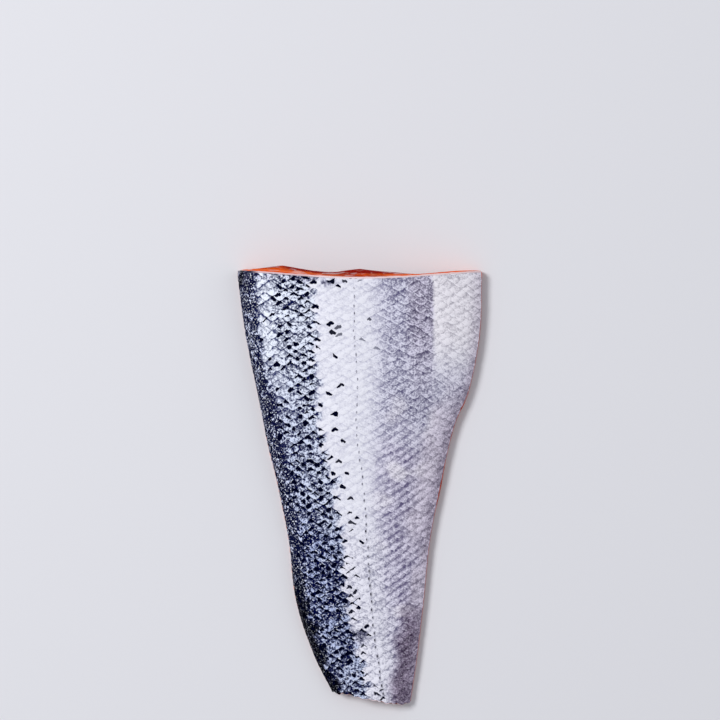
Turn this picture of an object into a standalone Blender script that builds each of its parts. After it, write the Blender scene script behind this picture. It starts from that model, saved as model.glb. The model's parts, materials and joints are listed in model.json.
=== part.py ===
"""Tail piece of a raw salmon fillet, one solid, lying skin side up on its flat flesh face.

Metres, +Z up. The straight cut across the thick end is at +Y and the tail cut at -Y. The back of the
fish is on the -X side and the belly on the +X side. The origin is the centre of the piece's box, on
the surface that it lies on.

The skin is a grid bent over the body. Its four sides are drawn down to the table as walls of flesh,
which lean out a little further than the skin, and a flat face closes the underside.
"""

import math

import bmesh
import bpy
from mathutils import Vector

# Driving dimensions of the skin, seen from above, and the greatest height of the piece.
SKIN_WIDTH = 0.146
SKIN_LENGTH = 0.2579
THICKNESS = 0.031

# Stations along the piece, from the tail cut (0) to the thick cut (1): where the skin's back edge and
# belly edge lie as shares of SKIN_WIDTH, how high the crest is as a share of THICKNESS, and where
# across the skin the crest runs.
STATIONS = (
    (0.000, 0.418, 0.708, 0.37, 0.50),
    (0.097, 0.324, 0.734, 0.43, 0.49),
    (0.236, 0.241, 0.763, 0.53, 0.47),
    (0.375, 0.212, 0.788, 0.63, 0.45),
    (0.514, 0.163, 0.835, 0.75, 0.43),
    (0.600, 0.125, 0.868, 0.83, 0.42),
    (0.660, 0.104, 0.898, 0.87, 0.41),
    (0.722, 0.082, 0.947, 0.91, 0.40),
    (0.861, 0.032, 0.993, 0.98, 0.39),
    (1.000, 0.000, 1.000, 1.00, 0.39),
)

# The skin's rim: its height above the table, at the tail cut and at the thick cut.
BACK_RIM = (0.0028, 0.0034)
BELLY_RIM = (0.0042, 0.0068)
BACK_ROUNDNESS = 2.3
BELLY_ROUNDNESS = 1.8
BELLY_FALL = 0.85

# The two cuts aren't square to the length: the thick cut sags in its middle, where the skin has drawn
# back, and the tail cut runs aslant in a shallow S.
THICK_CUT_SAG = 0.0046
TAIL_CUT_SLANT = 0.0068
TAIL_CUT_BOW = 0.0006
TAIL_CUT_WAVE = 0.0009

# How far the foot of each flesh wall stands out past the skin, and how far the wall swells. The front
# wall's foot is a wavy line of (share across, lean) points. The side walls bulge at some places, each
# given as its share along, its width and its height.
FRONT_LEANS = (
    (0.000, 0.0012),
    (0.090, 0.0032),
    (0.175, 0.0066),
    (0.235, 0.0058),
    (0.330, 0.0045),
    (0.410, 0.0048),
    (0.490, 0.0073),
    (0.570, 0.0056),
    (0.665, 0.0037),
    (0.730, 0.0018),
    (0.900, 0.0016),
    (1.000, 0.0006),
)
TAIL_LEAN = 0.0003
BACK_LEAN = 0.0001
BACK_BULGES = ((0.49, 0.20, 0.0006),)
BELLY_LEAN = 0.0003
BELLY_BULGES = ((0.50, 0.045, 0.0008), (0.69, 0.022, 0.0007), (0.82, 0.10, 0.0002))
WALL_SWELL = 0.0003
FOOT_INSET = 0.0011

# Slow unevenness of the skin: waves across, waves along, phase and height.
RIPPLES = ((1.4, 2.1, 0.6, 0.00045), (2.3, 3.4, 2.2, 0.00030), (0.8, 5.2, 4.0, 0.00025))

# Fineness of the mesh.
CELLS_ACROSS = 28
CELLS_ALONG = 46
WALL_LEVELS = (0.8, 0.58, 0.36, 0.14, 0.0)

FLESH_COLOUR = (0.86, 0.27, 0.13, 1.0)
SKIN_COLOUR = (0.42, 0.44, 0.52, 1.0)


def smooth_through(points, at):
    """The value at a place on the smooth curve through (place, value) points."""
    last = len(points) - 1
    index = 0
    while index < last - 1 and at > points[index + 1][0]:
        index += 1

    def slope(i):
        before, after = points[max(i - 1, 0)], points[min(i + 1, last)]
        return (after[1] - before[1]) / (after[0] - before[0])

    (start, low), (end, high) = points[index], points[index + 1]
    span = end - start
    share = (at - start) / span
    square, cube = share * share, share * share * share
    return (
        (2 * cube - 3 * square + 1) * low
        + (cube - 2 * square + share) * span * slope(index)
        + (3 * square - 2 * cube) * high
        + (cube - square) * span * slope(index + 1)
    )


def station_value(column, along):
    """One of the stations' columns, read anywhere along the piece."""
    return smooth_through([(row[0], row[column]) for row in STATIONS], along)


def mix(ends, share):
    return ends[0] + (ends[1] - ends[0]) * share


def skin_point(across, along):
    """A point of the skin. across runs from the back edge (0) to the belly edge (1)."""
    sag = THICK_CUT_SAG * math.sin(math.pi * across) ** 1.3
    slant = TAIL_CUT_SLANT * (1 - across) - TAIL_CUT_BOW * math.sin(math.pi * across)
    slant += TAIL_CUT_WAVE * math.sin(math.tau * across)
    y = (SKIN_LENGTH - sag) * along + slant * (1 - along)
    station = min(max(y / SKIN_LENGTH, 0.0), 1.0)
    x = SKIN_WIDTH * mix((station_value(1, station), station_value(2, station)), across)
    return Vector((x, y, skin_height(across, station)))


def skin_height(across, station):
    """Steep and round down to the back edge, and a long fall to the thin belly edge."""
    crest = THICKNESS * station_value(3, station)
    crest_line = station_value(4, station)
    if across < crest_line:
        rim = mix(BACK_RIM, station)
        fall = 1 - across / crest_line
        share = (1 - fall**BACK_ROUNDNESS) ** 0.5
    else:
        rim = mix(BELLY_RIM, station)
        fall = (across - crest_line) / (1 - crest_line)
        share = (1 - fall**BELLY_ROUNDNESS) ** BELLY_FALL
    fade = math.sin(math.pi * across) * crest / THICKNESS
    ripple = sum(
        height * math.sin(math.tau * (over * across + down * station) + phase)
        for over, down, phase, height in RIPPLES
    )
    return rim + (crest - rim) * share + ripple * fade


def spread_across(share):
    """Even steps from 0 to 1, drawn closer at both edges, where the skin turns down."""
    return 0.35 * share + 0.65 * (1 - math.cos(math.pi * share)) / 2


def bulge(bulges, along):
    return sum(
        height * math.exp(-(((along - place) / width) ** 2)) for place, width, height in bulges
    )


def wall_lean(side, share):
    """A wall's lean at a share of its own run: across on the cuts, along on the sides."""
    if side == "front":
        return smooth_through(FRONT_LEANS, share)
    if side == "back":
        return BACK_LEAN + bulge(BACK_BULGES, share)
    if side == "belly":
        return BELLY_LEAN + bulge(BELLY_BULGES, share)
    return TAIL_LEAN


def wall_offset(lean, level):
    """How far out the wall stands at a share of its height, from 1 at the skin to 0 at its foot."""
    offset = lean * (1 - level) ** 1.2 + WALL_SWELL * math.sin(math.pi * level)
    return offset - (FOOT_INSET if level == 0.0 else 0.0)


def outward_directions(rim):
    """The level direction that points out of the closed rim, at each of its points."""
    directions = []
    for index, point in enumerate(rim):
        run = rim[(index + 1) % len(rim)] - rim[index - 1]
        directions.append(Vector((run.y, -run.x, 0)).normalized())
    return directions


def skin_grid(mesh):
    """The skin as a bent grid. Returns its rim as (vertex, side, share), turning anticlockwise. The share
    is that of the way across on the two cuts, and along on the two sides."""
    bmesh.ops.create_grid(mesh, x_segments=CELLS_ACROSS, y_segments=CELLS_ALONG, size=0.5)
    places = {}
    for vertex in mesh.verts:
        column = round((vertex.co.x + 0.5) * CELLS_ACROSS)
        row = round((vertex.co.y + 0.5) * CELLS_ALONG)
        places[column, row] = vertex
    for (column, row), vertex in places.items():
        vertex.co = skin_point(spread_across(column / CELLS_ACROSS), row / CELLS_ALONG)
    tail = [(column, 0, "tail") for column in range(CELLS_ACROSS)]
    belly = [(CELLS_ACROSS, row, "belly") for row in range(CELLS_ALONG)]
    front = [(column, CELLS_ALONG, "front") for column in range(CELLS_ACROSS, 0, -1)]
    back = [(0, row, "back") for row in range(CELLS_ALONG, 0, -1)]
    across = [
        (places[column, row], side, spread_across(column / CELLS_ACROSS))
        for column, row, side in tail + front
    ]
    along = [(places[column, row], side, row / CELLS_ALONG) for column, row, side in belly + back]
    return across[: len(tail)] + along[: len(belly)] + across[len(tail) :] + along[len(belly) :]


def draw_walls_down(mesh, rim):
    """Extrudes the rim down to the table, level by level, and closes the flat underside."""
    start = [vertex.co.copy() for vertex, _, _ in rim]
    directions = outward_directions(start)
    ring = [vertex for vertex, _, _ in rim]
    for level in WALL_LEVELS:
        edges = [
            mesh.edges.get((ring[index - 1], ring[index])) for index in range(len(ring))
        ]
        made = bmesh.ops.extrude_edge_only(mesh, edges=edges)["geom"]
        new = [item for item in made if isinstance(item, bmesh.types.BMVert)]
        by_place = {tuple(vertex.co): vertex for vertex in new}
        ring = [by_place[tuple(vertex.co)] for vertex in ring]
        for index, vertex in enumerate(ring):
            _, side, share = rim[index]
            offset = wall_offset(wall_lean(side, share), level)
            vertex.co = start[index] + directions[index] * offset
            vertex.co.z = start[index].z * level
    foot = [edge for edge in mesh.edges if edge.is_boundary]
    bmesh.ops.holes_fill(mesh, edges=foot, sides=0)


def material(name, colour, roughness):
    made = bpy.data.materials.new(name)
    made.use_nodes = True
    surface = made.node_tree.nodes["Principled BSDF"]
    surface.inputs["Base Color"].default_value = colour
    surface.inputs["Roughness"].default_value = roughness
    surface.inputs["Metallic"].default_value = 0.0
    return made


def stand_on_origin(mesh):
    """Moves the piece so that the centre of its box is over the origin and its foot at height 0."""
    corners = [
        [pick(vertex.co[axis] for vertex in mesh.verts) for axis in range(3)]
        for pick in (min, max)
    ]
    low, high = (Vector(corner) for corner in corners)
    centre = (low + high) / 2
    bmesh.ops.translate(mesh, verts=mesh.verts, vec=(-centre.x, -centre.y, -low.z))


def fillet():
    """The whole piece: skin on top, flesh on its walls and underside."""
    mesh = bmesh.new()
    rim = skin_grid(mesh)
    skin_faces = set(mesh.faces)
    draw_walls_down(mesh, rim)
    for face in mesh.faces:
        face.material_index = 1 if face in skin_faces else 0
    stand_on_origin(mesh)
    bmesh.ops.recalc_face_normals(mesh, faces=mesh.faces)
    data = bpy.data.meshes.new("fillet")
    mesh.to_mesh(data)
    mesh.free()
    data.materials.append(material("salmon_flesh", FLESH_COLOUR, 0.35))
    data.materials.append(material("salmon_skin", SKIN_COLOUR, 0.3))
    data.shade_smooth()
    data.set_sharp_from_angle(angle=math.radians(40))
    return bpy.data.objects.new("fillet", data)


def main():
    for old in list(bpy.data.objects):
        bpy.data.objects.remove(old)
    collection = bpy.data.collections.new("salmon_fillet")
    bpy.context.scene.collection.children.link(collection)
    collection.objects.link(fillet())


main()
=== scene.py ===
"""Tail piece of a raw salmon fillet, skin side up: flesh, skin, scales and the pores of its lateral line.

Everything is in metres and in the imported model's frame: +Y towards the head, +X towards the belly, +Z up.
A place on the skin is given by its share of the way across, from the back edge (0) to the belly edge (1)
along the skin's curve, and by its y.
"""

import json
import math

import bmesh
import bpy
import numpy as np
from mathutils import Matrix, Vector, noise
from mathutils.bvhtree import BVHTree

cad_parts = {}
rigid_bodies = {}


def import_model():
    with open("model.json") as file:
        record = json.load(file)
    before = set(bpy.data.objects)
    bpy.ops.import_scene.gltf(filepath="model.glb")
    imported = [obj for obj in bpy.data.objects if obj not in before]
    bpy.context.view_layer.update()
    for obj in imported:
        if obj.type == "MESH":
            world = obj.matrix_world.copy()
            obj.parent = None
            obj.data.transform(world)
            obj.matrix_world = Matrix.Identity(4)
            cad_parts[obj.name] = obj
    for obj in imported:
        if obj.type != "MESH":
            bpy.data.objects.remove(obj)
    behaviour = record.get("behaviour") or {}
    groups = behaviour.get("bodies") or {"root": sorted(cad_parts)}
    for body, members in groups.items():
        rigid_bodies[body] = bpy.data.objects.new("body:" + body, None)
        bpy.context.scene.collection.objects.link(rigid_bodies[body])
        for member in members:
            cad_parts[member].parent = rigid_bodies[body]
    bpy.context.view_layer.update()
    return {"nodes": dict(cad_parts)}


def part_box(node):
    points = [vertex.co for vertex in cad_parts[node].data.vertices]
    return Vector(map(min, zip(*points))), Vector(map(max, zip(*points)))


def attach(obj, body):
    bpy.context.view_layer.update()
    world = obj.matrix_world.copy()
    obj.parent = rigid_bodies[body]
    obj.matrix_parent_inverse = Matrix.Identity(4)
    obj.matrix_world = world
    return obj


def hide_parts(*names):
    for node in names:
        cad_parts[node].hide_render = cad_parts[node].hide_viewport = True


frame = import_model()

MM = 0.001
LOW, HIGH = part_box("fillet")
LENGTH = HIGH.y - LOW.y

# How the solid is measured: the spacing of its sections, how many places each one has, how far from both
# cuts the sections stop, over how many of them the skin's run is read there to carry it on straight, and
# over how many places and sections its facets are evened out.
STATION_STEP = 1 * MM
SHARES = 161
END_ZONE = 13 * MM
RUN_READ = 8
FACET_SMOOTHING = 4

# The skin's edge at a cut is found with level rays, from so far off the cut and so far under the skin.
CUT_PLACES = 81
RAY_START, RAY_UNDER = 20 * MM, 0.8 * MM

# Height of the skin's lower edges above the table, at the tail and at the thick cut.
BACK_RIM = (2.8 * MM, 3.4 * MM)
BELLY_RIM = (4.2 * MM, 6.8 * MM)

# The lateral line's share of the way across, at shares of the length from the tail.
LINE = (
    (0.0, 0.64), (0.16, 0.608), (0.24, 0.6), (0.37, 0.571),
    (0.52, 0.537), (0.67, 0.503), (0.8, 0.492), (1.0, 0.5),
)


# ---- form


def even_out(table, axis, spread):
    """Averages a table along one axis with a soft window, keeping the values at both ends."""
    steps = np.arange(-3 * spread, 3 * spread + 1)
    weights = np.exp(-0.5 * (steps / spread) ** 2)
    weights /= weights.sum()
    padding = [(0, 0)] * table.ndim
    padding[axis] = (3 * spread, 3 * spread)
    padded = np.pad(table, padding, mode="reflect", reflect_type="odd")
    count = table.shape[axis]
    return sum(w * np.take(padded, np.arange(i, i + count), axis) for i, w in enumerate(weights))


def points_of(mesh):
    """A mesh's points, one in each row."""
    points = np.empty(len(mesh.vertices) * 3)
    mesh.vertices.foreach_get("co", points)
    return points.reshape(-1, 3)


def section(points, edges, y):
    """The solid's outline where y cuts it: (x, z) places from the foot at the back, over the top, to the
    foot at the belly."""
    start, end = points[edges[:, 0]], points[edges[:, 1]]
    crosses = (start[:, 1] - y) * (end[:, 1] - y) < 0
    start, end = start[crosses], end[crosses]
    share = (y - start[:, 1]) / (end[:, 1] - start[:, 1])
    cut = (start + (end - start) * share[:, None])[:, [0, 2]]
    cut = cut[cut[:, 1] > 0.3 * MM]
    middle = (cut[:, 0].min() + cut[:, 0].max()) / 2
    angle = np.arctan2(cut[:, 1], middle - cut[:, 0])
    return cut[np.argsort(angle)]


def skin_section(points, edges, y):
    """The part of a section that the skin covers, as SHARES places evenly along it."""
    outline = section(points, edges, y)
    along = (y - LOW.y) / LENGTH
    crest = int(np.argmax(outline[:, 1]))
    back, belly = outline[: crest + 1], outline[crest:][::-1]
    sides = []
    for side, (thin, thick) in ((back, BACK_RIM), (belly, BELLY_RIM)):
        rim = thin + (thick - thin) * along
        first = int(np.argmax(side[:, 1] > rim))
        share = (rim - side[first - 1, 1]) / (side[first, 1] - side[first - 1, 1])
        start = side[first - 1] + (side[first] - side[first - 1]) * share
        sides.append(np.vstack([start[None], side[first:]]))
    skin = np.vstack([sides[0], sides[1][::-1][1:]])
    steps = np.hypot(*np.diff(skin, axis=0).T)
    reached = np.concatenate([[0], np.cumsum(steps)])
    even = np.linspace(0, reached[-1], SHARES)
    return np.stack([np.interp(even, reached, skin[:, i]) for i in range(2)], axis=1)


class Form:
    """The skin of the solid, as measured: where any place on it is and which way it faces."""

    def __init__(self, node):
        mesh = node.data
        points = points_of(mesh)
        edges = np.empty(len(mesh.edges) * 2, int)
        mesh.edges.foreach_get("vertices", edges)
        edges = edges.reshape(-1, 2)
        stations = np.arange(LOW.y + END_ZONE, HIGH.y - END_ZONE, STATION_STEP)
        table = np.array([skin_section(points, edges, y) for y in stations])
        table = even_out(even_out(table, 0, FACET_SMOOTHING), 1, FACET_SMOOTHING)
        extra = int(END_ZONE / STATION_STEP) + 3
        table = self.carried_on(table, extra)
        self.first_y = stations[0] - extra * STATION_STEP
        ys = self.first_y + STATION_STEP * np.arange(len(table))
        self.places = np.stack(
            [table[..., 0], np.broadcast_to(ys[:, None], table.shape[:2]), table[..., 1]], axis=-1
        )
        across = np.gradient(self.places, axis=1)
        along = np.gradient(self.places, axis=0)
        normals = np.cross(across, along)
        self.normals = normals / np.linalg.norm(normals, axis=-1, keepdims=True)
        steps = np.linalg.norm(np.diff(self.places, axis=1), axis=-1)
        self.arcs = steps.sum(axis=1)
        self.ys = ys
        self.tree = BVHTree.FromPolygons(points.tolist(), [tuple(p.vertices) for p in mesh.polygons])
        self.cut_shares = np.linspace(0, 1, CUT_PLACES)
        self.front_ys = self.cut_line(HIGH.y, -1)
        self.tail_ys = self.cut_line(LOW.y, 1)

    @staticmethod
    def carried_on(table, extra):
        """The table with more stations at both ends, each going on straight from the last ones."""
        fore = (table[0] - table[RUN_READ]) / RUN_READ
        aft = (table[-1] - table[-1 - RUN_READ]) / RUN_READ
        before = [table[0] + fore * i for i in range(extra, 0, -1)]
        after = [table[-1] + aft * i for i in range(1, extra + 1)]
        return np.concatenate([before, table, after])

    def cut_line(self, end, way):
        """The y of the skin's edge at a cut, for each of cut_shares."""
        inner = np.clip(self.cut_shares, 0.012, 0.988)
        places = self.place(inner, np.full(len(inner), end + way * 4 * MM))
        ys = []
        for x, _, z in places:
            start = Vector((x, end - way * RAY_START, z - RAY_UNDER))
            hit = self.tree.ray_cast(start, Vector((0, way, 0)))
            ys.append(hit[0].y if hit[0] else ys[-1])
        return even_out(np.array(ys), 0, 1)

    def read(self, table, share, y):
        """A table's value at any share across and y, between its own places."""
        column = np.clip(share, 0, 1) * (table.shape[1] - 1)
        row = np.clip((y - self.first_y) / STATION_STEP, 0, len(table) - 1)
        left = np.minimum(column.astype(int), table.shape[1] - 2)
        below = np.minimum(row.astype(int), len(table) - 2)
        over = (column - left)[..., None]
        up = (row - below)[..., None]
        low = table[below, left] * (1 - over) + table[below, left + 1] * over
        high = table[below + 1, left] * (1 - over) + table[below + 1, left + 1] * over
        return low * (1 - up) + high * up

    def place(self, share, y, height=None):
        """Places on the skin, or at a height over it."""
        found = self.read(self.places, share, y)
        if height is None:
            return found
        normal = self.read(self.normals, share, y)
        return found + normal / np.linalg.norm(normal, axis=-1, keepdims=True) * height[..., None]

    def arc(self, y):
        return np.interp(y, self.ys, self.arcs)

    def front_y(self, share):
        return np.interp(share, self.cut_shares, self.front_ys)

    def tail_y(self, share):
        return np.interp(share, self.cut_shares, self.tail_ys)


form = Form(frame["nodes"]["fillet"])


def along_piece(stations, y, spread=12):
    """A value that's given at shares of the length, read at any y along a softened line."""
    even = np.linspace(0, 1, 265)
    shares, values = zip(*stations)
    soft = even_out(np.interp(even, shares, values), 0, spread)
    return np.interp((y - LOW.y) / LENGTH, even, soft)


def line_share(y):
    return along_piece(LINE, y)


def rough(share, y, size, seed):
    """Soft noise from -1 to 1 over the skin, for many places at once. size is that of its lumps."""
    spots = np.stack([share * form.arc(y) / size, y / size, np.full(len(share), seed)], axis=-1)
    return np.array([noise.noise(Vector(spot)) for spot in spots])


# How far the skin's edge at the tail cut is worn back and left out, and how long its rags are.
TAIL_WEAR, TAIL_RAGS = 1.6 * MM, 2.2 * MM
WEAR_SHARES = np.linspace(0, 1, 401)
TAIL_EDGE = form.tail_y(WEAR_SHARES) + TAIL_WEAR * rough(
    WEAR_SHARES, np.full(len(WEAR_SHARES), LOW.y), TAIL_RAGS, 40.0
)


def tail_edge(share):
    """The y of the skin's ragged edge at the tail cut."""
    return np.interp(share, WEAR_SHARES, TAIL_EDGE)


# ---- meshes


def attribute(mesh, name, values):
    """Stores a number or a vector for each point of a mesh."""
    values = np.asarray(values, dtype=np.float32)
    kind, key = ("FLOAT", "value") if values.ndim == 1 else ("FLOAT_VECTOR", "vector")
    mesh.attributes.new(name, kind, "POINT").data.foreach_set(key, values.ravel())


def added(name, data):
    """A new object, put in the scene."""
    made = bpy.data.objects.new(name, data)
    bpy.context.scene.collection.objects.link(made)
    return made


def piece_of(name, points, faces, finish, attributes=()):
    """A mesh object from arrays of points and faces, smooth, in one finish."""
    mesh = bpy.data.meshes.new(name)
    mesh.from_pydata(points.tolist(), [], faces.tolist())
    for key, values in dict(attributes).items():
        attribute(mesh, key, values)
    mesh.materials.append(finish)
    mesh.shade_smooth()
    return added(name, mesh)


def thicken(piece, depth):
    """Gives an open sheet its thickness, inwards."""
    solid = piece.modifiers.new("depth", "SOLIDIFY")
    solid.thickness = depth
    solid.offset = -1


def settle(piece, sharp_degrees):
    """Applies a piece's modifiers and keeps only its steep edges sharp."""
    ready = piece.evaluated_get(bpy.context.evaluated_depsgraph_get())
    mesh = bpy.data.meshes.new_from_object(ready)
    piece.modifiers.clear()
    piece.data = mesh
    mesh.shade_smooth()
    mesh.set_sharp_from_angle(angle=math.radians(sharp_degrees))


def grid_faces(rows, columns, closed=False):
    """The faces of a grid of points that is stored row by row. In a closed one each row is a ring."""
    corner = np.arange(rows * columns).reshape(rows, columns)
    if closed:
        corner = np.hstack([corner, corner[:, :1]])
    around = corner[:-1, :-1], corner[:-1, 1:], corner[1:, 1:], corner[1:, :-1]
    return np.stack([c.ravel() for c in around], axis=1)


def repeated(faces, count, size):
    """The same faces for each of many alike pieces, whose points are stored one piece after another."""
    return (faces[None] + (np.arange(count) * size)[:, None, None]).reshape(-1, 4)


# ---- finishes


def light_of(seen):
    """Colours given as they are seen, from 0 to 255, as the light that a shader works with."""
    seen = np.asarray(seen) / 255
    return np.where(seen <= 0.04045, seen / 12.92, ((seen + 0.055) / 1.055) ** 2.4)


def paint(red, green, blue):
    return (*light_of([red, green, blue]).tolist(), 1.0)


class Value:
    """A number that varies over a surface: a socket of a finish, which sums can be written with."""

    def __init__(self, finish, socket):
        self.finish, self.socket = finish, socket

    def math(self, operation, *others, clamp=False):
        settings = {"operation": operation, "use_clamp": clamp}
        values = dict(enumerate((self, *others)))
        return self.finish.make("ShaderNodeMath", settings, values)

    def __add__(self, other):
        return self.math("ADD", other)

    def __sub__(self, other):
        return self.math("SUBTRACT", other)

    def __rsub__(self, other):
        return (self * -1.0).math("ADD", other)

    def __mul__(self, other):
        return self.math("MULTIPLY", other)

    def __truediv__(self, other):
        return self.math("DIVIDE", other)

    __radd__, __rmul__ = __add__, __mul__

    def held(self):
        """Kept between 0 and 1."""
        return self.math("ADD", 0.0, clamp=True)

    def above(self, start, end):
        """0 up to start, 1 from end on, and a soft step between them. start may be the larger."""
        settings = {"interpolation_type": "SMOOTHSTEP"}
        values = {"Value": self, "From Min": start, "From Max": end}
        return self.finish.make("ShaderNodeMapRange", settings, values)


class Finish:
    """A material and its nodes."""

    def __init__(self, name):
        self.material = bpy.data.materials.new(name)
        self.material.use_nodes = True
        self.tree = self.material.node_tree
        self.surface = self.tree.nodes["Principled BSDF"]

    def make(self, kind, settings=None, values=None, output=0):
        """Adds a node: its settings first, then the values or links of its sockets."""
        node = self.tree.nodes.new(kind)
        for key, value in (settings or {}).items():
            setattr(node, key, value)
        for key, value in (values or {}).items():
            self.feed(node.inputs[key], value)
        return Value(self, node.outputs[output])

    def feed(self, socket, value):
        if isinstance(value, Value):
            self.tree.links.new(value.socket, socket)
        else:
            socket.default_value = value

    def number(self, name):
        return self.make("ShaderNodeAttribute", {"attribute_name": name}, output="Fac")

    def vector(self, name):
        return self.make("ShaderNodeAttribute", {"attribute_name": name}, output="Vector")

    def numbers(self, name):
        """The three numbers that are stored as a vector."""
        parted = self.make("ShaderNodeSeparateXYZ", None, {0: self.vector(name)})
        return [Value(self, socket) for socket in parted.socket.node.outputs]

    def place(self):
        return self.make("ShaderNodeTexCoord", output="Object")

    def speckle(self, size, detail=2.0, where=None):
        """Noise from about 0.2 to 0.8, in lumps of a size in metres."""
        values = {"Vector": where or self.place(), "Scale": 1 / size, "Detail": detail}
        return self.make("ShaderNodeTexNoise", None, values)

    def streaks(self, size, stretch, turn, detail=2.0):
        """Noise drawn out into streaks, that many times as long as wide, turned by an angle from +X."""
        values = {"Vector": self.place(), "Rotation": (0, 0, turn), "Scale": (stretch, 1, 1)}
        return self.speckle(size, detail, self.make("ShaderNodeMapping", {"vector_type": "TEXTURE"}, values))

    def blend(self, share, first, second):
        """first where share is 0 and second where it is 1, as colours."""
        settings = {"data_type": "RGBA"}
        return self.make("ShaderNodeMix", settings, {0: share, 6: first, 7: second}, output=2)

    def coats(self, colour, *coats):
        """Lays coats over a colour. Each is given as how well it covers and its tone, as it is seen."""
        for share, tone in coats:
            colour = self.blend(share.held(), colour, paint(*tone))
        return colour

    def set(self, **values):
        """Sets or links the shader's sockets, named with _ for a space."""
        for key, value in values.items():
            self.feed(self.surface.inputs[key.replace("_", " ")], value)

    def relief(self, height, distance, strength=1.0):
        values = {"Height": height, "Distance": distance, "Strength": strength}
        self.set(Normal=self.make("ShaderNodeBump", None, values))


# ---- colour of the skin

# What each zone of the skin is like: its deep and its pale tone, then how pale it is (0 to 1), how
# grainy, how strongly its free edges are drawn with painted highlights and its seats with painted shade,
# how far it is drawn into ridges that rise towards the belly, and how plump its scales are.
ZONES = {
    "white": (156, 156, 184, 238, 238, 248, 0.95, 0.18, 0.1, 0.15, 0.3, 0.3),
    "frost": (100, 100, 132, 238, 237, 249, 0.92, 0.38, 0.2, 0.24, 0.5, 0.8),
    "lilac": (92, 88, 124, 222, 221, 240, 0.74, 0.55, 0.45, 0.34, 0.4, 0.8),
    "plum": (76, 68, 96, 214, 207, 230, 0.68, 0.5, 0.5, 0.3, 0.15, 0.6),
    "cream": (150, 146, 160, 247, 243, 251, 0.95, 0.34, 0.3, 0.24, 0.4, 0.8),
    "mauve": (98, 90, 126, 230, 225, 246, 0.74, 0.42, 0.2, 0.64, 1.0, 1.2),
    "margin": (112, 104, 124, 234, 225, 243, 0.86, 0.36, 0.05, 0.2, 0.35, 0.5),
    # dusk is a darker purple-grey band on the belly side of the tail; near the belly edge it is painted
    # shade where the skin turns down.
    "dusk": (50, 34, 62, 204, 188, 216, 0.52, 0.36, 0.1, 0.24, 0.4, 0.7),
    "silver": (44, 52, 100, 238, 243, 255, 0.91, 0.32, 0.15, 0.62, 0.1, 0.7),
    "steel": (8, 16, 68, 231, 238, 255, 0.825, 0.85, 0.25, 0.74, 0.1, 0.7),
    "gloom": (3, 8, 56, 172, 184, 222, 0.425, 1.25, 0.4, 0.42, 0.2, 0.6),
    "strip": (10, 15, 50, 206, 214, 246, -0.1, 1.5, 0.3, 0.2, 0.0, 0.5),
    "brink": (0, 1, 10, 70, 72, 104, 0.14, 0.5, 0.0, 0.2, 0.0, 0.4),
    "smudge": (30, 30, 62, 196, 196, 220, 0.55, 1.0, 0.1, 0.2, 0.0, 0.4),
}

# Where the dark pigment of the back ends, as a distance from the lateral line, at shares of the length.
# Its line wanders, and single scales stray over it.
PIGMENT_END = (
    (0.0, -8 * MM), (0.09, -10 * MM), (0.18, -13 * MM), (0.3, -16.0 * MM), (0.42, -14.8 * MM),
    (0.53, -15.7 * MM), (0.64, -21.4 * MM), (0.8, -23.5 * MM), (1.0, -24 * MM),
)
EDGE_WANDER, EDGE_JITTER = 3.2 * MM, 1.6 * MM

# How wide the darkest strip along the back edge is, and how gloomy the back is, at shares of the length.
STRIP = ((0.0, 6 * MM), (0.3, 12 * MM), (0.5, 18 * MM), (0.72, 20 * MM), (0.85, 21 * MM), (1.0, 22 * MM))
GLOOM_AT = (
    (0.0, 1.0), (0.25, 1.0), (0.35, 0.75), (0.45, 0.22),
    (0.6, 0.28), (0.72, 0.1), (0.8, 0.0), (1.0, 0.0),
)

# How far from the back edge the silver band reaches, where lilac starts and ends off the lateral line, a
# small bruise, given as its place off that line and its y, and where the plum band starts.
SILVER_END = 31 * MM
LILAC_START = (
    (0.0, 12 * MM), (0.2, 10 * MM), (0.35, 8 * MM), (0.6, 9 * MM), (0.75, 13 * MM), (1.0, 13 * MM),
)
LILAC_END = 47.6 * MM
BRUISE = (-10 * MM, -90 * MM)
PLUM_START = 32 * MM

# A pale film on the belly hem: how far along the piece it is, and how far it reaches to either side.
FILM_AT, FILM_REACH = 0.272, 0.06

# The size of the lumps of noise that zones wander and drift by.
WANDER_LUMPS, DRIFT_LUMPS = 14 * MM, 30 * MM


def ramp(value, start, end):
    """0 up to start, 1 from end on, and a soft step between them."""
    share = np.clip((value - start) / (end - start), 0, 1)
    return share * share * (3 - 2 * share)


def whereabouts(share, y):
    """For many places on the skin: how far each is off the lateral line, from the back edge and from the
    belly edge, its share of the length, and how the zones wander and drift there."""
    arc = form.arc(y)
    off_line = (share - line_share(y)) * arc
    along = (y - LOW.y) / LENGTH
    wander = rough(share, y, WANDER_LUMPS, 3.0)
    drift = rough(share, y, DRIFT_LUMPS, 8.0)
    return off_line, share * arc, (1 - share) * arc, along, wander, drift


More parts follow.
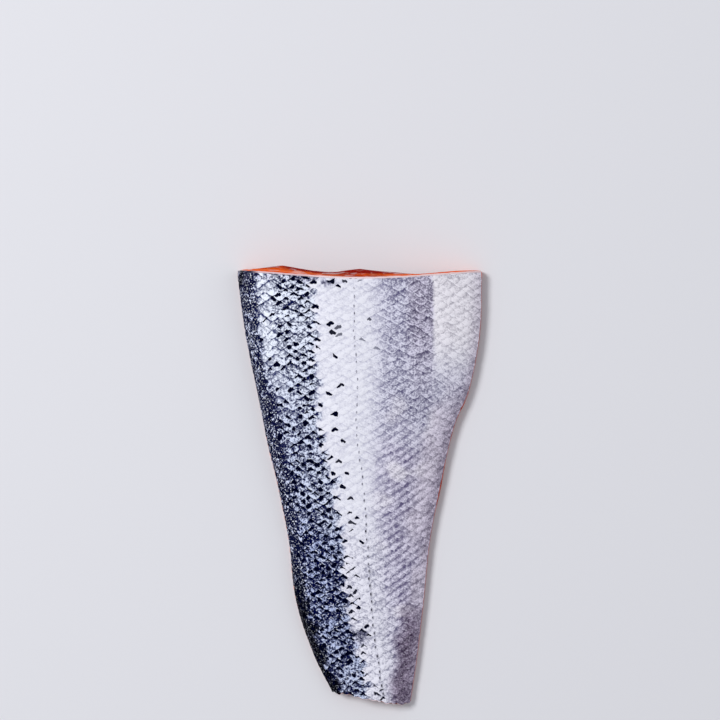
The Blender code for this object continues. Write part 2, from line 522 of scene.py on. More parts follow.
def dark_zones(share, y):
    """How strongly each of the dark zones of the back shows at many places on the skin."""
    off_line, from_back, _, along, wander, drift = whereabouts(share, y)
    end = along_piece(PIGMENT_END, y) + EDGE_WANDER * wander
    pigment = ramp(off_line, end + 1.5 * MM, end - 3 * MM)
    strip_width = along_piece(STRIP, y) * (1 + 0.14 * drift)
    strip = ramp(from_back, 1.15 * strip_width, 0.75 * strip_width)
    silver = ramp(along, 0.55, 0.75) * ramp(from_back, SILVER_END + 4 * MM, SILVER_END - 4 * MM)
    depth = ramp(off_line, end, end - 26 * MM)
    gloom = np.clip(along_piece(GLOOM_AT, y) * (1 + depth + 0.4 * wander), 0, 1)
    brink = ramp(along, 0.36, 0.2) * ramp(from_back + 2 * MM * wander, 13 * MM, 8 * MM)
    from_front = form.front_y(np.clip(share, 0, 1)) - y
    corner = ramp(from_back + 3 * MM * wander, 13 * MM, 9 * MM) * ramp(from_front, 11 * MM, 7 * MM)
    smudge = ramp(from_front + 4 * MM * wander, 6 * MM, 2 * MM) * ramp(off_line, 0, -12 * MM)
    smudge = smudge * ramp(rough(share, y, 5 * MM, 70.0), -0.15, 0.2) * 0.9
    bruise = ramp(np.hypot(off_line - BRUISE[0], y - BRUISE[1]), 6 * MM, 3 * MM)
    return {
        "steel": pigment,
        "silver": silver * pigment,
        "gloom": gloom * pigment * (1 - 0.4 * ramp(along, 0.2, 0.03)),
        "strip": strip * pigment,
        "brink": np.maximum(brink * pigment, 0.7 * corner),
        "smudge": np.maximum(smudge, 0.8 * bruise),
    }


def pale_zones(share, y):
    """How strongly each of the pale zones of the flank and belly shows at many places on the skin."""
    off_line, _, from_belly, along, wander, drift = whereabouts(share, y)
    start = along_piece(LILAC_START, y)
    rises = ramp(off_line, start - 9 * MM, start + 12 * MM + 4 * MM * wander)
    blur = ramp(along, 0.86, 0.7)
    falls = ramp(off_line, LILAC_END + (0.7 + 6 * blur) * MM, LILAC_END - (0.7 + 6 * blur) * MM)
    lower = ramp(along + 0.06 * wander, 0.7, 0.52)
    lilac = rises * np.maximum(falls, 0.75 * blur) * (1 - lower) * (1 + 0.2 * drift)
    worn = ramp(rough(share, y, 17 * MM, 33.0), 0.12, 0.42) * ramp(along, 0.8, 0.6)
    bare = ramp(from_belly + 4 * MM * wander, 24 * MM, 13 * MM)
    bare = bare * ramp(along, 0.8, 0.62) * ramp(along, 0.3, 0.42)
    film = ramp(from_belly + 2 * MM * wander, 12 * MM, 8 * MM)
    film = film * ramp(np.abs(along - FILM_AT), FILM_REACH, 0.5 * FILM_REACH)
    hem = ramp(from_belly + 1.5 * MM * wander, 7 * MM, 2 * MM) * ramp(along, 0.95, 0.6)
    evening = ramp(from_belly + 3 * MM * wander, 19 * MM, 9 * MM)
    evening = evening * ramp(along + 0.03 * drift, 0.28, 0.14)
    evening = evening * (1 - 0.3 * ramp(from_belly, 6 * MM, 2 * MM))
    plum = ramp(off_line, PLUM_START - 4 * MM, PLUM_START + 5 * MM) * falls
    # Painted shade: the skin is darkened towards the belly edge, where it turns down.
    turned_down_shade = ramp(from_belly, 12 * MM, 0) * (0.25 + 0.12 * ramp(along, 0.8, 0.6))
    return {
        "frost": ramp(along + 0.04 * wander, 0.5, 0.3) * ramp(off_line, 26 * MM, 12 * MM),
        "lilac": np.clip(lilac, 0, 1),
        "plum": plum * ramp(along, 0.6, 0.9) * 0.85,
        "mauve": rises * lower,
        "cream": np.maximum((1 - falls) * (1 - blur), rises * worn * 0.7 * (along > 0.2)),
        "margin": np.maximum(np.maximum(bare * 0.8, hem), film * 0.8),
        "dusk": np.maximum(evening, turned_down_shade) * (1 - 0.85 * film),
    }


def traits(zones):
    """The zones' traits, each zone laid over the last, as a finish reads them."""
    blend = np.array([ZONES["white"]])
    for name, weight in zones.items():
        blend = blend + (np.array(ZONES[name]) - blend) * weight[:, None]
    return {
        "deep": light_of(blend[:, :3]),
        "pale": light_of(blend[:, 3:6]),
        "feel": blend[:, 6:9],
        "growth": blend[:, 9:12],
    }


# ---- scales

# The spacing of the scales along the fish, on the whole and at shares of the length, and that of their
# columns, which lie closer near the back edge.
SCALE_PITCH = 4.8 * MM
PITCH_AT = ((0.0, 4.5 * MM), (0.4, 4.7 * MM), (1.0, 4.85 * MM))
COLUMN_SPACING = 4.2 * MM
COLUMN_AT = ((0.0, 3.75 * MM), (0.3, 3.95 * MM), (0.6, 4.2 * MM), (1.0, 4.45 * MM))
CLOSER_AT_BACK = 0.22
COLUMNS = np.arange(-30, 31)
FIELD_REACH = 110 * MM

# How far the rows run on past the tail cut and the thick cut, before the cuts trim them.
ROWS_PAST_TAIL, ROWS_PAST_FRONT = 8 * MM, 4 * MM

# A scale's half width in columns, and its length and the bow of its free edge in pitches.
SCALE_HALF_WIDTH = 1.03
SCALE_LENGTH = 1.3
FREE_EDGE_DEPTH = 0.56
FREE_EDGE_POINT = 0.45

# A scale's relief: how high its tip stands, how fast it falls towards its root, how much its sides and
# its very edge turn down, and the height of the ridges that run over many scales.
TIP_HEIGHT = 0.46 * MM
SCALE_SLOPE = 0.33 * MM
SCALE_CROWN = 0.16 * MM
RIM_DROP = 0.22 * MM
RIM_REACH = (0.13, 0.24)
RIDGE_HEIGHT = 0.14 * MM
SCALE_SUNK = 0.1 * MM
SCALE_THICKNESS = 0.2 * MM

# How far single scales stray over the zones' borders, and how far from the skin's edge and from the thick
# cut they stop.
ZONE_JITTER = 1.8 * MM
BARE_MARGIN, FRONT_MARGIN = 0.35 * MM, 1.0 * MM

# The cells over a scale, and its rows of points, from its free edge (0) to its root (1).
CELLS_OVER = 8
ROWS_BACK = (0.0, 0.06, 0.14, 0.27, 0.5, 0.75, 1.0)

# How unevenly the scales grow: the drift of whole rows and columns, and each scale's own share of it, all
# in columns or in pitches, how much less those on the lateral line stray, how many are missing near the
# cuts, and how near that is.
DRIFT_SIZE = 16 * MM
COLUMN_DRIFT, ROW_DRIFT = 0.3, 0.22
COLUMN_JITTER, ROW_JITTER = 0.07, 0.06
LINE_STEADINESS = 0.3
LOST_NEAR_CUT = 0.4
CUT_WEAR = 5 * MM

# Dark spots out on the pale flank, each as how far it lies off the lateral line and its y, both in mm, then
# how deep and how wide its mark is on the scale, and how dark it is.
SPOTS = (
    (-7.0, 114, 0.45, 0.5, 0.85), (-11.5, 94.5, 0.5, 0.6, 0.95), (-8.5, 94, 0.45, 0.5, 0.6),
    (-8.0, 90, 0.45, 0.5, 0.5), (-12.5, 87.5, 0.55, 0.55, 0.85), (-11.0, 75, 0.3, 0.35, 1.0),
    (-9.5, 58, 0.35, 0.6, 0.9), (-15.0, 55, 0.55, 0.6, 1.0), (-14.0, 41, 0.4, 0.6, 1.0),
    (-14.5, 32.5, 0.4, 0.55, 1.0), (-10.0, 25, 0.45, 0.4, 0.95), (-12.0, 13, 0.35, 0.5, 0.8),
    (-6.0, -9, 0.4, 0.65, 0.8), (-4.5, -18, 0.4, 0.4, 1.0), (-8.5, -22, 0.4, 0.7, 0.75),
    (-13.0, -32, 0.45, 0.45, 1.0), (-6.5, -71, 0.45, 0.4, 1.0), (-13.0, -87, 0.45, 0.6, 1.0),
    (-10.5, -89, 0.4, 0.5, 0.8), (-12.5, -92, 0.45, 0.5, 0.9), (-12.5, 121, 0.35, 0.5, 0.9),
    (-8.0, 117, 0.4, 0.45, 1.0), (-4.0, 121, 0.3, 0.4, 0.7), (1.5, 119.5, 0.3, 0.5, 0.6),
    (6.0, 120, 0.3, 0.4, 0.5), (10.5, 97, 0.3, 0.35, 0.6), (4.0, 85.5, 0.35, 0.5, 0.4),
    (12.0, 80.5, 0.35, 0.5, 0.35),
)
SPOT_REACH = 2.6 * MM


def free_edge(over):
    """How far a scale's free edge has drawn back from its tip, in pitches, at a place from -1 to 1 over
    it."""
    point = FREE_EDGE_POINT
    drawn = (np.sqrt(over * over + point * point) - point) / (math.sqrt(1 + point * point) - point)
    return FREE_EDGE_DEPTH * drawn


def column_places():
    """For each of the form's stations, how far off the lateral line each column of scales runs."""
    off_line = np.linspace(-FIELD_REACH, FIELD_REACH, 881)
    table = []
    for y in form.ys:
        from_back = off_line + line_share(y) * form.arc(y)
        width = along_piece(COLUMN_AT, y) * (1 - CLOSER_AT_BACK * ramp(from_back, 22 * MM, 6 * MM))
        counted = np.concatenate([[0], np.cumsum(np.diff(off_line) / width[1:])])
        counted -= np.interp(0, off_line, counted)
        table.append(np.interp(COLUMNS, counted, off_line))
    return np.array(table)[..., None]


def share_of(column, y, places):
    """The share across of a place that's given in columns."""
    of_columns = (column - COLUMNS[0]) / (len(COLUMNS) - 1)
    return line_share(y) + form.read(places, of_columns, y)[..., 0] / form.arc(y)


def tip_rows():
    """The y of each row of scales' tips, counted in half pitches."""
    ys = [LOW.y - ROWS_PAST_TAIL]
    while ys[-1] < HIGH.y + ROWS_PAST_FRONT:
        ys.append(ys[-1] + float(along_piece(PITCH_AT, ys[-1])) / 2)
    return np.array(ys)


def scale_lattice(first, last, places, random):
    """The column and tip of each scale of the columns from first to last that lies on the skin."""
    rows = tip_rows()
    columns = np.arange(first, last + 1)
    found = np.concatenate([
        np.stack([np.full(len(rows[c % 2 :: 2]), float(c)), rows[c % 2 :: 2]], axis=-1) for c in columns
    ])
    share = share_of(found[:, 0], found[:, 1] + 0.5 * SCALE_PITCH, places)
    inside = np.clip(share, 0, 1)
    room = np.minimum(found[:, 1] - form.tail_y(inside) + 6 * MM, form.front_y(inside) - found[:, 1])
    from_front = room - 0.5 * SCALE_PITCH
    lost = random.uniform(0, 1, len(found)) < LOST_NEAR_CUT * ramp(from_front, CUT_WEAR, 0)
    return found[(np.abs(share - 0.5) < 0.53) & (room > 0) & ~lost]


def swayed(lattice, random):
    """The scales' own columns and tips, after the drift of the rows and each scale's jitter."""
    column, y = lattice.T
    count = len(column)
    share = np.clip(0.5 + column * COLUMN_SPACING / form.arc(y), 0, 1)
    column = column + COLUMN_DRIFT * rough(share, y, DRIFT_SIZE, 51.0) * (column != 0)
    steady = np.where(lattice[:, 0] == 0, LINE_STEADINESS, 1)
    column = column + random.normal(0, COLUMN_JITTER, count) * steady
    strayed = ROW_DRIFT * rough(share, y, DRIFT_SIZE, 57.0) + random.normal(0, ROW_JITTER, count)
    return column, y + SCALE_PITCH * strayed


def scale_cells():
    """The points of one scale: how far over it each is, from -1 to 1, and how far up from its tip, in
    pitches, then how far from its free edge, and how far short of the scales that cover its root."""
    over = np.sin(np.linspace(-1, 1, CELLS_OVER + 1) * math.pi / 2)
    edge = free_edge(over)
    up = edge[None, :] + (SCALE_LENGTH - edge)[None, :] * np.array(ROWS_BACK)[:, None]
    over = np.broadcast_to(over, up.shape).ravel()
    up = up.ravel()
    covered = np.minimum(0.5 + free_edge(1 - np.abs(over)), 1 + free_edge(over))
    return over, up, up - free_edge(over), covered - up


def scale_field(name, first, last, finish, places, seed):
    """Joined scales: each is a domed plate that rises from the skin to its free edge, towards the tail."""
    random = np.random.default_rng(seed)
    tip_column, tip_y = swayed(scale_lattice(first, last, places, random), random)
    over, up, from_edge, reach = scale_cells()
    count, size = len(tip_y), len(over)

    middle_y = tip_y + 0.5 * SCALE_PITCH
    middle_share = np.clip(share_of(tip_column, middle_y, places), 0, 1)
    shift = random.normal(0, ZONE_JITTER, count)
    zones = {**pale_zones(middle_share, middle_y), **dark_zones(middle_share, middle_y)}
    _, ridge, plump = traits(zones)["growth"].T[:, :, None]
    plump = plump * random.uniform(0.75, 1.25, (count, 1))

    width = SCALE_HALF_WIDTH * random.normal(1, 0.05, (count, 1))
    skew = random.normal(0, 0.06, (count, 1))
    lift = random.normal(0, 0.04 * MM, (count, 1))
    tilt = random.normal(0, 0.05 * MM, (count, 1))
    column = tip_column[:, None] + over * width
    pitch = along_piece(PITCH_AT, tip_y)[:, None]
    y = tip_y[:, None] + pitch * (up + skew * over)
    rim_reach = RIM_REACH[0] + (RIM_REACH[1] - RIM_REACH[0]) * np.clip(plump - 0.5, 0, 1)
    rim_drop = RIM_DROP * (0.5 + 0.5 * plump) * np.exp(-from_edge / rim_reach)
    merged = 1 - 0.8 * np.clip(ridge, 0, 1) * ramp(over, 0.3, -0.5)
    height = TIP_HEIGHT - SCALE_SLOPE * up - (SCALE_CROWN * plump * over * over + rim_drop) * merged
    height = height + (lift + tilt * over) * (1 - up / SCALE_LENGTH)
    swell = ridge * np.cos(math.tau * (up - 0.5 * over - 0.5))
    height = height + RIDGE_HEIGHT * swell

    column, y, height = column.ravel(), y.ravel(), height.ravel()
    share = share_of(column, y, places)
    margin = BARE_MARGIN / form.arc(y)
    within = np.clip(share, margin, 1 - margin)
    lowest = tail_edge(within) + BARE_MARGIN
    highest = form.front_y(within) - FRONT_MARGIN
    outside = (share != within) | (y < lowest) | (y > highest)
    share, y = within, np.clip(y, lowest, highest)
    points = form.place(share, y, height - SCALE_SUNK)

    faces = repeated(grid_faces(len(ROWS_BACK), CELLS_OVER + 1), count, size)
    faces = faces[~outside[faces].all(axis=1)]
    used, faces = np.unique(faces, return_inverse=True)
    faces = faces.reshape(-1, 4)

    shifted = np.clip(share + np.repeat(shift, size) / form.arc(y), 0, 1)
    vary = traits({**pale_zones(share, y), **dark_zones(shifted, y)})
    vary["plate"] = np.tile(np.stack([over, from_edge, reach], axis=-1), (count, 1))
    vary["mark"] = np.repeat(ink_marks(middle_share, middle_y, random), size, axis=0)
    vary["swell"] = swell.ravel()
    vary["chance"] = np.repeat(random.uniform(0, 1, (count, 3)), size, axis=0)
    vary = {key: values[used] for key, values in vary.items()}
    piece = piece_of(name, points[used], faces, finish, vary)
    thicken(piece, SCALE_THICKNESS)
    settle(piece, sharp_degrees=50)
    return piece


def ink_marks(share, y, random):
    """For each scale, how black its mark is, how deep the mark reaches, and how wide it is."""
    zones = dark_zones(share, y)
    count = len(y)
    off_line, _, _, along, wander, _ = whereabouts(share, y)
    past_end = off_line - along_piece(PIGMENT_END, y) - EDGE_WANDER * wander
    past_end = past_end + random.normal(0, EDGE_JITTER, count)
    patch = rough(share, y, 9 * MM, 21.0)
    edge_rows = ramp(past_end, -9 * MM, -4 * MM) * ramp(past_end, 2.5 * MM, 0.5 * MM)
    likely = zones["steel"] * (0.8 - 0.14 * ramp(along, 0.6, 0.8) + 0.6 * patch)
    likely = likely * (1 - 0.8 * zones["silver"]) * (1 - 0.5 * zones["strip"])
    likely = np.maximum(likely, 0.8 * edge_rows)
    tailward = ramp(along, 0.62, 0.3)
    fringe = ramp(past_end, 9 * MM + 5 * MM * tailward, 1 * MM) * (past_end > 0) * tailward
    likely = np.maximum(likely, 0.7 * fringe)
    black = (random.uniform(0, 1, count) < likely) * (1 - 0.3 * fringe * random.uniform(0, 1, count))
    wide = random.uniform(0, 1, count) ** 3
    depth = (random.uniform(0.27, 0.56, count) - 0.14 * wide) * (1 - 0.55 * fringe)
    width = random.uniform(0.32, 0.5, count) + 0.3 * wide + 0.1 * fringe
    for spot_off, spot_y, spot_depth, spot_width, spot_dark in SPOTS:
        away = np.hypot(off_line - spot_off * MM, y - spot_y * MM)
        nearest = int(np.argmin(away)) if count else 0
        if away[nearest] < SPOT_REACH:
            black[nearest], depth[nearest], width[nearest] = spot_dark, spot_depth, spot_width
    blackness = 1 - (1 - black) ** 2.2
    return np.stack([blackness, depth, width], axis=-1)


# The black of the marks, the blue that faint ones have, and the white of tiny glints.
INK, FAINT_INK = paint(1, 3, 26), paint(52, 62, 114)
GLINT = paint(240, 244, 252)


def scale_finish():
    """Wet scales: each zone's own deep and pale tone, mixed by grain, with painted shade in the seats,
    painted highlights on the free edges, painted glints and black marks."""
    f = Finish("salmon_scales")
    across, from_edge, reach = f.numbers("plate")
    black, depth, width = f.numbers("mark")
    first, second, third = f.numbers("chance")
    level, grit, outline = f.numbers("feel")
    seated, ridge, _ = f.numbers("growth")
    swell = f.number("swell")
    grain = f.speckle(1.9 * MM, 2.0)
    fine = f.speckle(1.0 * MM, 1.0)
    lump = f.speckle(5 * MM, 2.0)
    hatch = f.streaks(1.1 * MM, 3.0, math.radians(30))
    texture = grain + (hatch - grain) * ridge * 0.6
    side = (across + third * 0.4 - 0.2).math("ABSOLUTE")

    ragged = reach + (texture - 0.5) * 0.25
    # Painted shade: each scale's seat under the free edges that cover it is darkened, and a thin painted
    # shadow line runs along those edges; on ridged scales one side is left open, so that shade falls on one
    # side only.
    open_side = (ridge * (across + 0.35)).held()
    seat_shade = ragged.above(0.5, 0.02) * (1 - open_side)
    line = ragged.above(0.12, 0.03) * (1 - open_side * 0.8)
    # A painted highlight along each free edge, a little stronger on the side towards the key lamp.
    shore = from_edge + (texture - 0.5) * 0.25
    edge_highlight = shore.above(0.24, 0.06) * (0.8 - across * 0.2)
    uneven = (texture - 0.5) * 2.8 + (fine - 0.5) * 2.2
    uneven = uneven + (lump - 0.5) * (1.2 - ridge) + (first - 0.5) * 0.5
    # Here the painted shade of seats and lines is summed, then taken away and the painted highlights laid
    # on.
    painted_shade = seat_shade * (0.2 + ridge * 0.2) + line * (0.7 - ridge * 0.4) * (0.6 + second * 0.8)
    drawn = outline * edge_highlight * (0.2 + fine) - seated * painted_shade
    # The ridges' swell is painted in too: lighter on their crests, darker in their furrows.
    shade = (level + grit * uneven + drawn + swell * 0.1).held()
    colour = f.blend(shade * shade, f.vector("deep"), f.vector("pale"))
    glint = fine.above(0.59, 0.67) * (outline * 0.6 + grit * 0.6) * (0.4 + edge_highlight * 0.6)
    colour = f.blend(glint.held(), colour, GLINT)
    bend = side / width
    wedge = depth * (1 - bend * bend * 0.8) - bend.above(0.85, 1.1)
    mark = (wedge + (grain - 0.5) * 0.4 + (fine - 0.5) * 0.2 - reach).above(-0.02, 0.04) * black
    colour = f.blend(mark.held(), colour, f.blend(mark.held(), FAINT_INK, INK))
    f.set(
        Base_Color=colour,
        Roughness=(0.28 + 0.2 * grain + 0.2 * mark).held(),
        Specular_IOR_Level=0.0,
        Coat_Weight=((0.6 - mark) * shade * (0.4 + grain)).held(),
        Coat_Roughness=0.16,
    )
    f.relief(texture * 0.6 + fine * 0.3, 0.14 * MM, 0.6)
    return f.material


# ---- lateral line

PORE_SIDES = 12

# The profile of a pore, from the skin round it, over its rim and down into its hole, painted dark as
# shade: how far out and how high.
PORE_PROFILE = (
    (0.75 * MM, -0.1 * MM), (0.6 * MM, 0.1 * MM), (0.48 * MM, 0.17 * MM),
    (0.34 * MM, 0.1 * MM), (0.26 * MM, -0.06 * MM), (0.02 * MM, -0.14 * MM),
)

# How high a pore sits, and how much higher towards the tail, how much narrower and longer than round it
# is, and how far up its scale it lies, in pitches. Then how far pores stray along and aside, and how far
# from the tail cut and the thick cut they stop.
PORE_HEIGHT, TAIL_RISE = 0.3 * MM, 0.2 * MM
PORE_WIDTH, PORE_STRETCH = 0.8, 1.9
PORE_THICKNESS = 0.06 * MM
PORE_UP_SCALE = 0.42
PORE_JITTER, PORE_SWAY = 0.07, 0.25 * MM
PORE_END_GAPS = (2 * MM, 4 * MM)


def lateral_pores(finish):
    """A small raised pore on each scale of the lateral line."""
    random = np.random.default_rng(15)
    rows = tip_rows()[0::2]
    y = rows + SCALE_PITCH * (PORE_UP_SCALE + random.normal(0, PORE_JITTER, len(rows)))
    share = line_share(y) + random.normal(0, PORE_SWAY, len(y)) / form.arc(y)
    inside = (y > form.tail_y(share) + PORE_END_GAPS[0]) & (y < form.front_y(share) - PORE_END_GAPS[1])
    y, share = y[inside], share[inside]
    tailward = ramp((y - LOW.y) / LENGTH, 0.6, 0.3)
    size = random.uniform(0.6, 1.0, len(y)) * (1 + 0.35 * tailward)
    turn = np.linspace(0, math.tau, PORE_SIDES, endpoint=False)
    out, up = np.array(PORE_PROFILE).T
    over = (out[:, None] * np.cos(turn)).ravel() * PORE_WIDTH
    along = (out[:, None] * np.sin(turn)).ravel() * PORE_STRETCH
    rise = np.repeat(up, PORE_SIDES) + PORE_HEIGHT
    # Where the pore is painted dark, as the shade in its opening.
    hole = np.repeat(ramp(out, 0.5 * MM, 0.3 * MM), PORE_SIDES)
    ys = (y[:, None] + along[None] * size[:, None]).ravel()
    shares = share[:, None] + over[None] * size[:, None] / form.arc(y)[:, None]
    points = form.place(shares.ravel(), ys, (rise[None] + TAIL_RISE * tailward[:, None]).ravel())
    faces = repeated(grid_faces(len(out), PORE_SIDES, closed=True), len(y), len(over))
    piece = piece_of("lateral_pores", points, faces, finish, {"hole": np.tile(hole, len(y))})
    thicken(piece, PORE_THICKNESS)
    settle(piece, sharp_degrees=60)
    return piece


def pore_finish():
    f = Finish("salmon_pores")
    hole = f.number("hole")
    grain = f.speckle(0.8 * MM, 2.0)
    # The hole is painted near black as shade.
    colour = f.blend((hole + grain * 0.4 - 0.2).held(), paint(206, 205, 220), paint(24, 22, 42))
    f.set(Base_Color=colour, Roughness=0.35, Specular_IOR_Level=0.15)
    f.relief(grain, 0.05 * MM, 0.4)
    return f.material


# ---- skin

# How thick the skin is and how far under the solid's surface its own lies, its cells across and along, and
# how ragged its edge at the thick cut is.
SKIN_DEPTH = 0.9 * MM
SKIN_UNDER = 0.3 * MM
SKIN_CELLS = (150, 260)
FRONT_WEAR, FRONT_RAGS = 0.25 * MM, 3.5 * MM


def skin_sheet(finish):
    """The skin under the scales, with uneven cut edges at the tail and at the thick cut."""
    across, along = SKIN_CELLS
    share = np.linspace(0, 1, across + 1)
    share = 0.5 - 0.5 * np.cos(math.pi * (0.5 * share + 0.25 * (1 - np.cos(math.pi * share))))
    step = np.linspace(0, 1, along + 1)
    share, step = (g.ravel() for g in np.meshgrid(share, step))
    tail, front = tail_edge(share), form.front_y(share)
    y = tail + (front - tail) * step
    y = y + rough(share, y, FRONT_RAGS, 40.0) * FRONT_WEAR * (step == 1)
    points = form.place(share, y, np.full(len(y), -SKIN_UNDER))
    arc = form.arc(y)
    from_cut = np.minimum.reduce([share * arc, (1 - share) * arc, y - tail, front - y - 0.6 * MM])
    dark = dark_zones(share, y)
    vary = traits({**pale_zones(share, y), **dark})
    vary["edge"] = np.stack([from_cut / MM, dark["strip"], dark["steel"]], axis=-1)
    piece = piece_of("skin", points, grid_faces(along + 1, across + 1), finish, vary)
    thicken(piece, SKIN_DEPTH)
    settle(piece, sharp_degrees=50)
    return piece


def skin_finish():
    """Bare skin, as it shows between scales and along the cuts."""
    f = Finish("salmon_skin")
    level, grit, _ = f.numbers("feel")
    from_cut, strip, dark = f.numbers("edge")
    grain = f.speckle(1.1 * MM, 3.0)
    shade = (level - 0.3 + grit * (grain - 0.5) * 3.0).held()
    colour = f.blend(shade * shade, f.vector("deep"), f.vector("pale"))
    bared = from_cut.above(0.55, 0.15) * (1 - strip)
    colour = f.blend(bared.held(), colour, f.blend(dark, paint(238, 212, 214), paint(214, 184, 190)))
    f.set(Base_Color=colour, Roughness=0.34, Specular_IOR_Level=0.2)
    f.relief(grain, 0.12 * MM, 0.5)
    return f.material


# ---- flesh

# The flesh is drawn down under the skin by this much, which fades out this far past the skin's edge. Its
# wall at the back edge is drawn in near the thick cut.
FLESH_VOXEL = 1.1 * MM
FLESH_UNDER = 0.85 * MM
FLESH_SHIFT_FADE = (2.0 * MM, 0.6 * MM)
WALL_DRAWN_IN = 0.6 * MM
WELD = 0.01 * MM

# The muscle layers are nested cones, one along the back and one along the belly. Each has its axis at a
# share of the width and of the height, and its flanks run back by so much for each step across and up.
BACK_CONE, BELLY_CONE = 0.2, 0.8
CONE_HEIGHT = 0.55
CONE_ACROSS, CONE_UP = 1.25, 2.7
LAYER_SPACING = 9 * MM
LAYER_GROOVE = 0.16 * MM

# Where the belly edge is red, as places along and how far each patch reaches.
RED_BELLY_EDGE = ((0.645, 0.05), (0.495, 0.065), (0.99, 0.02))


def skin_tree():
    """The skin's surface, to find the nearest place on it."""
    rows, columns = form.places.shape[:2]
    faces = grid_faces(rows, columns)
    return BVHTree.FromPolygons(form.places.reshape(-1, 3).tolist(), faces.tolist())


def under_skin(points):
    """Lowers what lies just under the skin, and says how deep under the skin each point then is."""
    tree = skin_tree()
    deep = np.empty(len(points))
    for index, point in enumerate(points):
        near, normal, _, _ = tree.find_nearest(Vector(point))
        away = Vector(point) - near
        rise = away.dot(normal)
        aside = (away - normal * rise).length
        fade = float(ramp(aside, *FLESH_SHIFT_FADE))
        drop = max(0.0, rise + FLESH_UNDER) * fade
        points[index] -= np.array(normal) * drop
        deep[index] = math.hypot(min(0.0, rise - drop), aside)
    return deep


def muscle(points):
    """For places in the flesh: which muscle layer each is in, and its share of the way across."""
    x, y, z = points.T
    back = form.place(np.zeros(len(y)), y)[:, 0]
    belly = form.place(np.ones(len(y)), y)[:, 0]
    across = (x - back) / (belly - back)
    top = form.place(np.clip(across, 0.1, 0.9), y)[:, 2]
    up = CONE_UP * (z - CONE_HEIGHT * top)
    flanks = [CONE_ACROSS * (across - axis) * (belly - back) for axis in (BACK_CONE, BELLY_CONE)]
    nearest = np.minimum(*[np.hypot(flank, up) for flank in flanks])
    return (y - nearest) / LAYER_SPACING, across


def flesh_body(finish):
    """The flesh: the solid, a little lower under the skin, with grooves between its muscle layers."""
    shape = bmesh.new()
    shape.from_mesh(frame["nodes"]["fillet"].data)
    bmesh.ops.remove_doubles(shape, verts=shape.verts, dist=WELD)
    mesh = bpy.data.meshes.new("flesh")
    shape.to_mesh(mesh)
    shape.free()
    made = added("flesh", mesh)
    remesh = made.modifiers.new("even", "REMESH")
    remesh.mode = "VOXEL"
    remesh.voxel_size = FLESH_VOXEL
    settle(made, sharp_degrees=60)
    mesh = made.data
    points = points_of(mesh)
    deep = under_skin(points)
    layer, across = muscle(points)
    base = ramp(points[:, 2], 0.9 * MM, 0.4 * MM)
    groove = np.abs(layer - np.round(layer)) * LAYER_SPACING
    rise = LAYER_GROOVE * ramp(groove, 1.6 * MM, 0)
    points[:, 2] = points[:, 2] * (1 - base) + rise * base
    along = (points[:, 1] - LOW.y) / LENGTH
    points[:, 0] += WALL_DRAWN_IN * ramp(across, 0.05, 0.0) * ramp(along, 0.56, 0.68)
    mesh.vertices.foreach_set("co", points.ravel())
    attribute(mesh, "muscle", np.stack([layer, across, deep / MM], axis=-1))
    # Where the belly wall is red and where it is a pale hem; the finish paints both darker as shade.
    redness = sum(ramp(abs(along - middle), reach, 0.6 * reach) for middle, reach in RED_BELLY_EDGE)
    share = np.clip(across, 0, 1)
    front = ramp(form.front_y(share) - points[:, 1], 8 * MM, 3 * MM)
    tail = ramp(points[:, 1] - form.tail_y(share), 3 * MM, 1 * MM)
    hem = ramp(across, 0.955, 0.985) * (1 - 0.85 * redness)
    attribute(mesh, "edge", np.stack([base, hem, front - tail], axis=-1))
    mesh.materials.clear()
    mesh.materials.append(finish)
    return made


def layered_noise(f, across, deep, layer):
    """Noise that lies along the muscle layers and the skin, drawn out by what its places are told."""
    place = f.make("ShaderNodeCombineXYZ", None, {"X": across, "Y": deep, "Z": layer})
    return f.make("ShaderNodeTexNoise", None, {"Vector": place, "Scale": 1.0, "Detail": 2.0})


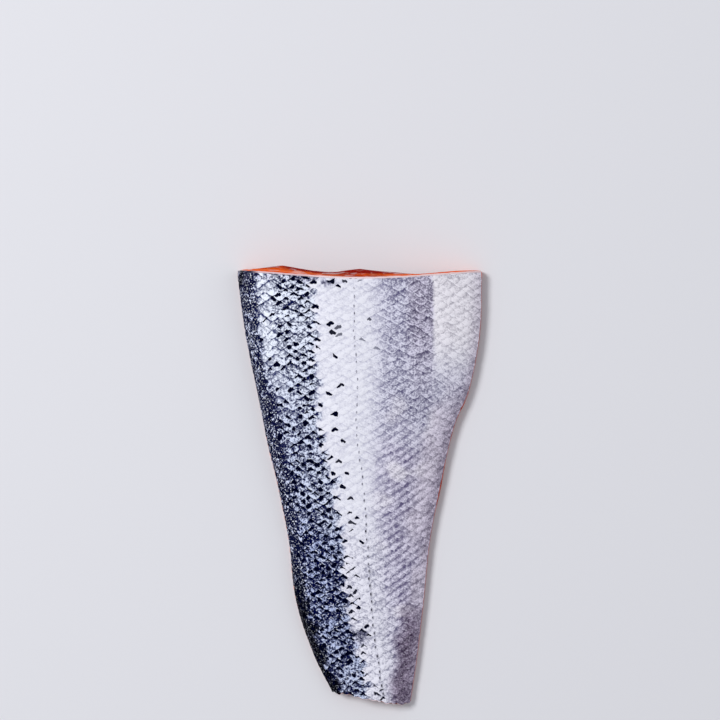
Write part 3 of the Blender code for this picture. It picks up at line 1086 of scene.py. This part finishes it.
def flesh_finish():
    """Orange flesh, redder low down, partly as painted shade at the foot of its walls, with pale fat lines
    and streaks of sinew that follow the skin. The underside is paler, and the edges are grey under the skin,
    raw at the belly and brown at the tail; the belly wall is painted darker as shade."""
    f = Finish("salmon_flesh")
    layer, across, deep = f.numbers("muscle")
    base, hem, cut = f.numbers("edge")
    wall = 1 - base
    grain = f.speckle(1.2 * MM, 3.0)
    lump = f.speckle(7 * MM, 2.0)
    fine = f.speckle(0.5 * MM, 2.0)
    sinew = layered_noise(f, across * 9.0, deep * 0.4, layer * 0.4)
    wet = layered_noise(f, across * 14.0, deep * 0.14, layer * 0.3)

    core = across.above(0.24, 0.45) * across.above(0.68, 0.54) * cut.above(0.0, 1.0)
    # Redder deeper under the skin and in the core; the dark red low on the walls is partly painted shade at
    # their foot.
    low = deep.above(7.0, 22.0) + core * 0.6 + (sinew - 0.5) * 1.6 + (lump - 0.5) * 1.4
    streak = sinew.above(0.53, 0.68) * deep.above(1.0, 3.0) * deep.above(18.0, 12.0)
    meat = f.coats(
        f.blend(low.held(), paint(246, 98, 22), paint(142, 18, 8)),
        (streak * 0.45 * wall, (255, 178, 132)),
        (sinew.above(0.44, 0.38) * 0.5 * wall, (146, 20, 8)),
    )

    aside = across + (lump - 0.5) * 0.08
    heart = aside.above(0.34, 0.43) * aside.above(0.62, 0.52)
    cloud = (lump - 0.5) * 3.0 + (grain - 0.5) * 2.0
    under = f.coats(
        f.blend(across.above(0.55, 0.95), paint(238, 122, 84), paint(248, 196, 174)),
        (heart * (0.4 + lump * 0.6), (214, 84, 62)),
        (cloud.held() * 0.4, (250, 200, 180)),
    )

    phase = (layer + lump * 0.25 + grain * 0.06).math("FRACT")
    fat = (phase - 0.5).math("ABSOLUTE").above(0.42, 0.485)
    vein = (lump - 0.5).math("ABSOLUTE").above(0.03, 0.008) * heart * lump.above(0.4, 0.6) * 0.6
    seam = (aside - 0.41).math("ABSOLUTE").above(0.01, 0.004) * fine.above(0.4, 0.55) * 0.8
    veil = (aside - 0.115).math("ABSOLUTE").above(0.035, 0.005) * (0.1 + grain * 0.7)
    fatty = fat * (1 - heart * 0.7) * (0.6 + grain * 0.6) + vein + seam
    grey = deep.above(1.8, 0.9) * wall
    rind = across.above(0.05, 0.01) * (0.6 + 0.4 * grain)
    # The red patches of the belly wall: their red is real, and their darkness is painted shade.
    raw = across.above(0.955, 0.985) * (1 - hem) * wall * cut.above(1.0, 0.0)
    colour = f.coats(
        f.blend(base, meat, under),
        (fat * 0.15 * wall + fatty * base, (252, 218, 200)),
        (veil * base, (206, 172, 182)),
        (grey * (0.3 + 0.4 * grain), (214, 150, 136)),
        (cut.above(0.0, -1.0) * 0.8, (120, 50, 42)),
        (rind, (228, 196, 192)),
        (raw * 0.75, (140, 20, 14)),
        # The belly wall's pale pink hem is painted a darker mauve as shade.
        (hem * wall * (0.7 + 0.4 * grain), (184, 138, 142)),
    )
    f.set(
        Base_Color=colour,
        Roughness=(0.3 + 0.2 * grain).held(),
        Specular_IOR_Level=0.0,
        Coat_Weight=(wet.above(0.56, 0.62) * 0.7 + fine.above(0.6, 0.68) * 0.3).held(),
        Coat_Roughness=0.12,
        Subsurface_Weight=0.05,
        Subsurface_Radius=(1.0, 0.35, 0.2),
        Subsurface_Scale=2 * MM,
    )
    f.relief(grain * 0.6 + fine * 0.4 + fat * 0.4 + sinew * 0.6, 0.25 * MM, 0.6)
    return f.material


# ---- stage

# How high the camera hangs, how wide a stretch of the floor it sees, and over what place.
CAMERA_HEIGHT = 1.1
VIEW_WIDTH = 0.432
VIEW_CENTRE = (0.3 * MM, 74.4 * MM)

# The two soft lamps, which face the piece: how wide each is, its power and its place.
LAMPS = {"key": (1.2, 68, (-1.75, 1.0, 2.35)), "fill": (2.0, 9, (1.9, 0.3, 2.0))}
ROOM_LIGHT, ROOM_STRENGTH = (0.93, 0.95, 1.0, 1.0), 0.4
FLOOR_SIZE, FLOOR_GAP = 8, 0.05 * MM


def camera():
    made = added("camera", bpy.data.cameras.new("camera"))
    made.data.lens = made.data.sensor_width * CAMERA_HEIGHT / VIEW_WIDTH
    made.data.clip_end = 20
    made.location = (*VIEW_CENTRE, CAMERA_HEIGHT)
    bpy.context.scene.camera = made


def lamp(name, size, power, place):
    made = added(name, bpy.data.lights.new(name, "AREA"))
    made.data.shape = "DISK"
    made.data.size = size
    made.data.energy = power
    made.location = place
    made.rotation_euler = (-Vector(place)).to_track_quat("-Z", "Y").to_euler()


def studio():
    bpy.ops.mesh.primitive_plane_add(size=FLOOR_SIZE)
    floor = bpy.context.object
    floor.name = "floor"
    floor.location.z = -FLOOR_GAP
    f = Finish("floor")
    f.set(Base_Color=paint(222, 222, 227), Roughness=0.8, Specular_IOR_Level=0.1)
    floor.data.materials.append(f.material)
    world = bpy.data.worlds.new("room")
    world.use_nodes = True
    room = world.node_tree.nodes["Background"].inputs
    room["Color"].default_value = ROOM_LIGHT
    room["Strength"].default_value = ROOM_STRENGTH
    bpy.context.scene.world = world
    for name, (size, power, place) in LAMPS.items():
        lamp(name, size, power, place)
    bpy.context.scene.view_settings.view_transform = "Standard"


def main():
    # Blender may have started with a cube, a camera and a light of its own.
    for old in list(bpy.data.objects):
        if old.type in {"MESH", "CAMERA", "LIGHT"} and old.name in {"Cube", "Camera", "Light"}:
            bpy.data.objects.remove(old)
    studio()
    camera()
    places = column_places()
    scales = scale_finish()
    pieces = [
        (flesh_body(flesh_finish()), "flesh"),
        (skin_sheet(skin_finish()), "skin"),
        (scale_field("scales_back", -30, -5, scales, places, 11), "scales"),
        (scale_field("scales_flank", -4, 9, scales, places, 12), "scales"),
        (scale_field("scales_belly", 10, 30, scales, places, 13), "scales"),
        (lateral_pores(pore_finish()), "scales"),
    ]
    for piece, slot in pieces:
        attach(piece, "root")
    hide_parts("fillet")


main()
